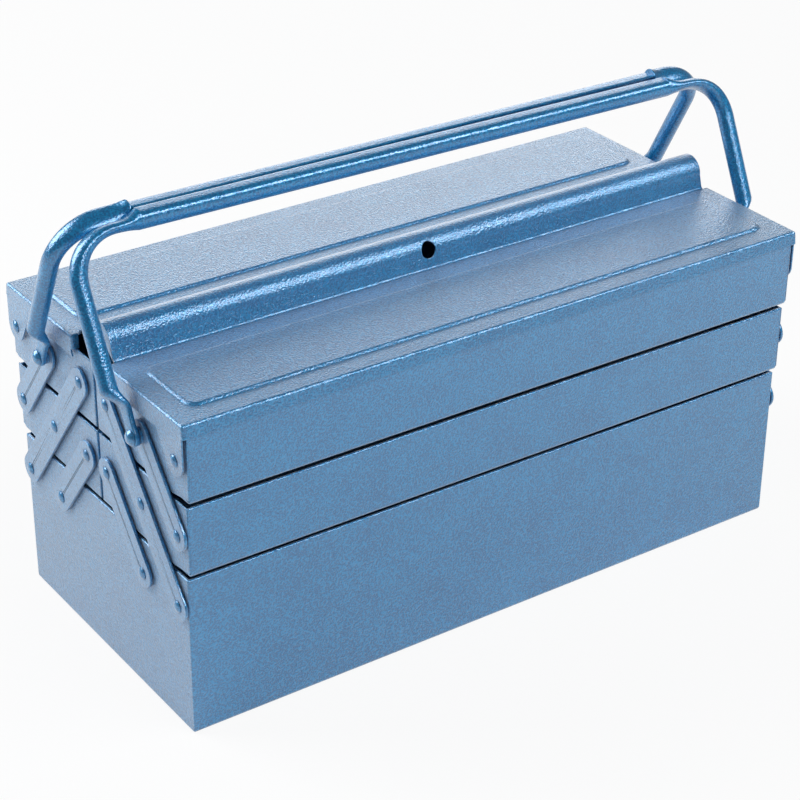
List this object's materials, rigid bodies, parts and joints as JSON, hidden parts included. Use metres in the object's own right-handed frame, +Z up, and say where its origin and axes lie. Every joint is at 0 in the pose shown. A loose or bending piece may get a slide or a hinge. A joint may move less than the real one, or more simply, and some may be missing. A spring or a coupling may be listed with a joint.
{
  "type": "cantilever tool box",
  "caption": "Folded-steel cantilever tool box whose trays swing out on flat links, with hinged lids, a padlock ridge and twin handles.",
  "frame": {"origin": "on the ground under the middle of the bottom box", "axes": "+X along the box, +Y from the front half to the back half, +Z up"},
  "size_m": [0.4666, 0.2088, 0.2811],
  "materials": {
    "sheet_enamel": "glossy hammered blue enamel",
    "link_enamel": "glossy hammered blue enamel",
    "handle_enamel": "glossy hammered blue enamel on tube",
    "rivet_enamel": "glossy blue enamel over rivet heads",
    "washer_enamel": "blue enamel over steel washers"
  },
  "bodies": {
    "bottom_box": {"bottom_box": "sheet_enamel", "box_rivets": "rivet_enamel", "box_washers": "washer_enamel"},
    "front_long_links": {"front_left_long_link": "link_enamel", "front_right_long_link": "link_enamel"},
    "front_lower_links": {"front_left_lower_link": "link_enamel", "front_right_lower_link": "link_enamel"},
    "front_upper_links": {"front_left_upper_link": "link_enamel", "front_right_upper_link": "link_enamel"},
    "front_middle_tray": {"front_middle_tray": "sheet_enamel", "front_middle_ends": "sheet_enamel", "front_middle_rivets": "rivet_enamel", "front_middle_washers": "washer_enamel"},
    "front_top_tray": {"front_top_tray": "sheet_enamel", "front_top_ends": "sheet_enamel", "front_top_rivets": "rivet_enamel", "front_top_washers": "washer_enamel", "front_lid_rivets": "rivet_enamel", "front_handle_rivets": "rivet_enamel", "front_handle_spacers": "washer_enamel"},
    "front_lid": {"front_lid": "sheet_enamel"},
    "front_handle": {"front_handle": "handle_enamel"},
    "back_long_links": {"back_left_long_link": "link_enamel", "back_right_long_link": "link_enamel"},
    "back_lower_links": {"back_left_lower_link": "link_enamel", "back_right_lower_link": "link_enamel"},
    "back_upper_links": {"back_left_upper_link": "link_enamel", "back_right_upper_link": "link_enamel"},
    "back_middle_tray": {"back_middle_tray": "sheet_enamel", "back_middle_ends": "sheet_enamel", "back_middle_rivets": "rivet_enamel", "back_middle_washers": "washer_enamel"},
    "back_top_tray": {"back_top_tray": "sheet_enamel", "back_top_ends": "sheet_enamel", "back_top_rivets": "rivet_enamel", "back_top_washers": "washer_enamel", "back_lid_rivets": "rivet_enamel", "back_handle_rivets": "rivet_enamel", "back_handle_spacers": "washer_enamel"},
    "back_lid": {"back_lid": "sheet_enamel"},
    "back_handle": {"back_handle": "handle_enamel"}
  },
  "joints": [
    {"name": "front_open", "type": "hinge", "parent": "bottom_box", "child": "front_long_links", "pos_m": [0, -0.0895, 0.083], "axis": [1, 0, 0], "range_deg": [0, 76]},
    {"name": "front_lower_link_turn", "type": "hinge", "parent": "bottom_box", "child": "front_lower_links", "pos_m": [0, -0.0495, 0.083], "axis": [1, 0, 0], "range_deg": [0, 76]},
    {"name": "front_middle_level", "type": "hinge", "parent": "front_long_links", "child": "front_middle_tray", "pos_m": [0, -0.052, 0.13], "axis": [1, 0, 0], "range_deg": [-76, 0]},
    {"name": "front_top_level", "type": "hinge", "parent": "front_long_links", "child": "front_top_tray", "pos_m": [0, -0.0157, 0.1755], "axis": [1, 0, 0], "range_deg": [-76, 0]},
    {"name": "front_upper_link_turn", "type": "hinge", "parent": "front_middle_tray", "child": "front_upper_links", "pos_m": [0, -0.092, 0.13], "axis": [1, 0, 0], "range_deg": [0, 76]},
    {"name": "front_lid_swing", "type": "hinge", "parent": "front_top_tray", "child": "front_lid", "pos_m": [0, -0.0935, 0.178], "axis": [1, 0, 0], "range_deg": [0, 110]},
    {"name": "front_handle_swing", "type": "hinge", "parent": "front_top_tray", "child": "front_handle", "pos_m": [0, -0.0557, 0.1755], "axis": [1, 0, 0], "range_deg": [0, 170]},
    {"name": "back_open", "type": "hinge", "parent": "bottom_box", "child": "back_long_links", "pos_m": [0, 0.0895, 0.083], "axis": [-1, 0, 0], "range_deg": [0, 76]},
    {"name": "back_lower_link_turn", "type": "hinge", "parent": "bottom_box", "child": "back_lower_links", "pos_m": [0, 0.0495, 0.083], "axis": [-1, 0, 0], "range_deg": [0, 76]},
    {"name": "back_middle_level", "type": "hinge", "parent": "back_long_links", "child": "back_middle_tray", "pos_m": [0, 0.052, 0.13], "axis": [-1, 0, 0], "range_deg": [-76, 0]},
    {"name": "back_top_level", "type": "hinge", "parent": "back_long_links", "child": "back_top_tray", "pos_m": [0, 0.0157, 0.1755], "axis": [-1, 0, 0], "range_deg": [-76, 0]},
    {"name": "back_upper_link_turn", "type": "hinge", "parent": "back_middle_tray", "child": "back_upper_links", "pos_m": [0, 0.092, 0.13], "axis": [-1, 0, 0], "range_deg": [0, 76]},
    {"name": "back_lid_swing", "type": "hinge", "parent": "back_top_tray", "child": "back_lid", "pos_m": [0, 0.0935, 0.178], "axis": [-1, 0, 0], "range_deg": [0, 110]},
    {"name": "back_handle_swing", "type": "hinge", "parent": "back_top_tray", "child": "back_handle", "pos_m": [0, 0.0557, 0.1755], "axis": [-1, 0, 0], "range_deg": [0, 170]}
  ],
  "couplings": [
    {"joint": "front_lower_link_turn", "follows": "front_open", "ratio": 1},
    {"joint": "front_middle_level", "follows": "front_open", "ratio": -1},
    {"joint": "front_top_level", "follows": "front_open", "ratio": -1},
    {"joint": "front_upper_link_turn", "follows": "front_open", "ratio": 1},
    {"joint": "back_lower_link_turn", "follows": "back_open", "ratio": 1},
    {"joint": "back_middle_level", "follows": "back_open", "ratio": -1},
    {"joint": "back_top_level", "follows": "back_open", "ratio": -1},
    {"joint": "back_upper_link_turn", "follows": "back_open", "ratio": 1}
  ]
}
